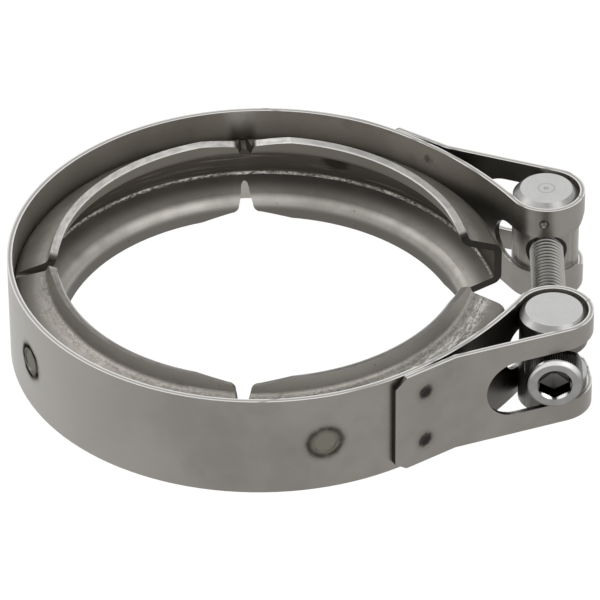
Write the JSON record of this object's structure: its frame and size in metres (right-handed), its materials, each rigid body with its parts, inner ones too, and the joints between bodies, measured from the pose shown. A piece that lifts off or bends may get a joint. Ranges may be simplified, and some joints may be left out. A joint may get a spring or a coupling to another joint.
{
  "type": "exhaust clamp",
  "caption": "V-band exhaust clamp: a looped steel strap with a notched V retainer inside, closed by a socket-head screw through trunnions.",
  "frame": {"origin": "centre of the ring at half the band's width, which is the middle of the V groove", "axes": "+Z along the ring's axis, +X towards the opening with its screw, the screw along Y with its head at -Y"},
  "size_m": [0.1348, 0.1174, 0.0258],
  "materials": {
    "strap_steel": "satin rolled stainless sheet, bright at its sheared edges",
    "retainer_steel": "satin rolled stainless sheet with forming marks",
    "trunnion_steel": "turned steel",
    "screw_steel": "plated steel with a knurled head"
  },
  "bodies": {
    "clamp": {"band_strap": "strap_steel", "v_retainer": "retainer_steel", "plain_trunnion": "trunnion_steel", "threaded_trunnion": "trunnion_steel"},
    "screw": {"clamp_screw": "screw_steel"}
  },
  "joints": [
    {"name": "screw_turn", "type": "hinge", "parent": "clamp", "child": "screw", "pos_m": [0.06695, 0, 0], "axis": [0, 1, 0], "continuous": true}
  ]
}
